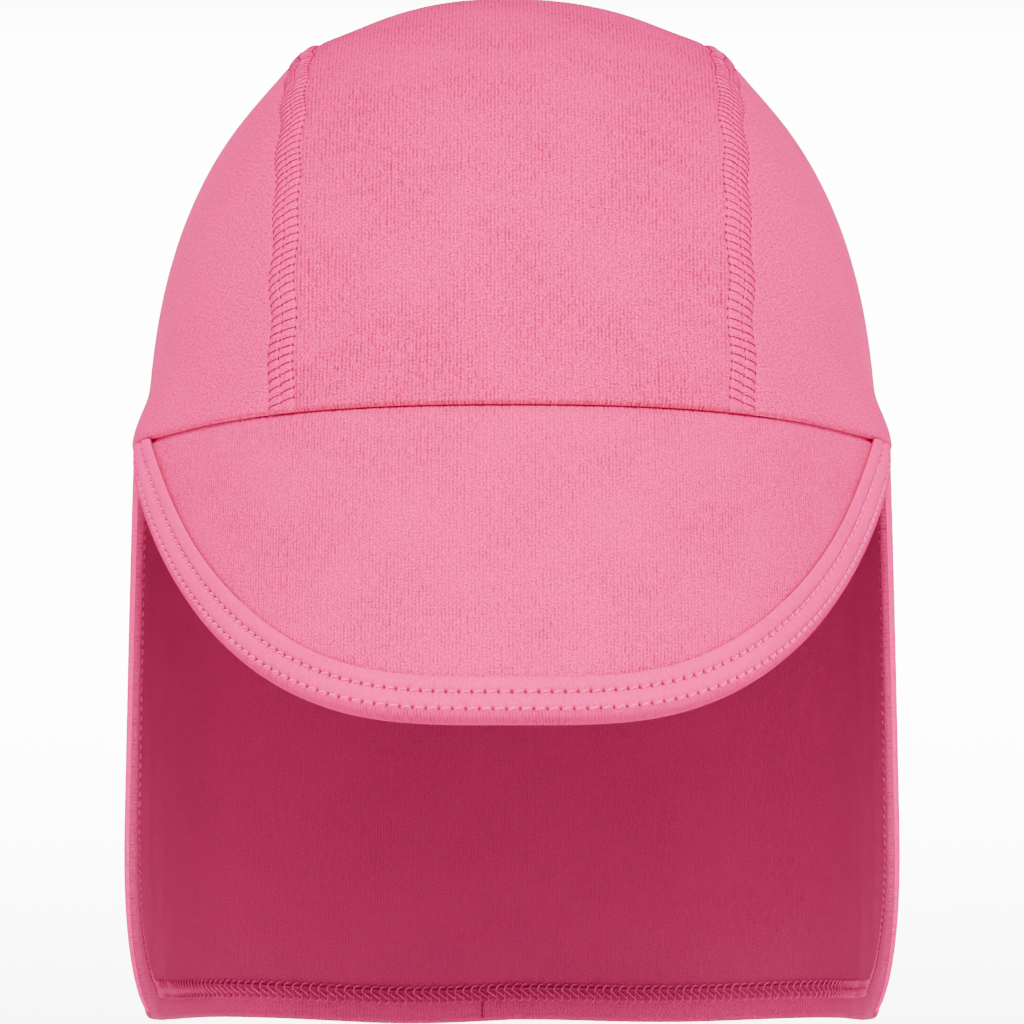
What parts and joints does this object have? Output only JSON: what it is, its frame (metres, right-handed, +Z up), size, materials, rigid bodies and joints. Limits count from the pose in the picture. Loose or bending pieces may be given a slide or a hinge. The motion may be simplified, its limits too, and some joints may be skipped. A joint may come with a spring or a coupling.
{
  "type": "sun cap with neck flap",
  "caption": "Close-fitting stretch-cloth sun cap with a short bound peak, flat raised seams over the crown and a neck flap with a turned hem.",
  "frame": {"origin": "middle of the head opening at the rim, midway between the temples, where a head holds the cap", "axes": "-Y towards the peak, +X to the wearer's left, +Z up through the crown"},
  "size_m": [0.1542, 0.2155, 0.2249],
  "materials": {
    "crown_cloth": "matte stretch knit, pink",
    "seam_thread": "matte covering thread, pink",
    "peak_cloth": "matte stretch knit, pink",
    "flap_cloth": "matte stretch knit, deeper pink"
  },
  "bodies": {
    "root": {"crown_centre_panel": "crown_cloth", "crown_side_panel_left": "crown_cloth", "crown_side_panel_right": "crown_cloth", "flatlock_seam_left": "seam_thread", "flatlock_seam_right": "seam_thread", "peak": "peak_cloth", "peak_binding": "peak_cloth", "neck_flap": "flap_cloth", "flap_hem": "flap_cloth"}
  },
  "joints": []
}
